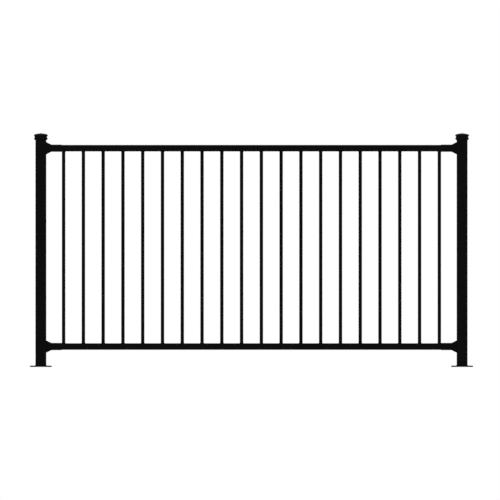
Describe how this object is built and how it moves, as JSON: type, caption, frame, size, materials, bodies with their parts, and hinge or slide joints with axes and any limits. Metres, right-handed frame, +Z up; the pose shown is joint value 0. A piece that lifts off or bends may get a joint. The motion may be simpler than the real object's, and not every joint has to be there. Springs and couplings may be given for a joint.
{
  "type": "ornamental metal fence panel",
  "caption": "Flat-topped fence panel of square pickets between two punched rails, on square posts with moulded caps, flared rail brackets and bolted base plates.",
  "frame": {"origin": "middle of the left base plate's underside, on the ground", "axes": "+X along the fence from the left post to the right post, +Y away from the side that the picture shows, +Z up"},
  "size_m": [2.584, 0.127, 1.3636],
  "materials": {
    "post_coating": "satin",
    "panel_coating": "satin",
    "bracket_coating": "satin",
    "cap_coating": "satin"
  },
  "bodies": {
    "root": {"left_post": "post_coating", "left_base_plate": "post_coating", "left_post_cap": "cap_coating", "right_post": "post_coating", "right_base_plate": "post_coating", "right_post_cap": "cap_coating", "top_rail": "panel_coating", "bottom_rail": "panel_coating", "top_left_bracket": "bracket_coating", "top_right_bracket": "bracket_coating", "bottom_left_bracket": "bracket_coating", "bottom_right_bracket": "bracket_coating", "picket_01": "panel_coating", "picket_02": "panel_coating", "picket_03": "panel_coating", "picket_04": "panel_coating", "picket_05": "panel_coating", "picket_06": "panel_coating", "picket_07": "panel_coating", "picket_08": "panel_coating", "picket_09": "panel_coating", "picket_10": "panel_coating", "picket_11": "panel_coating", "picket_12": "panel_coating", "picket_13": "panel_coating", "picket_14": "panel_coating", "picket_15": "panel_coating", "picket_16": "panel_coating", "picket_17": "panel_coating", "picket_18": "panel_coating", "picket_19": "panel_coating", "picket_20": "panel_coating"}
  },
  "joints": []
}
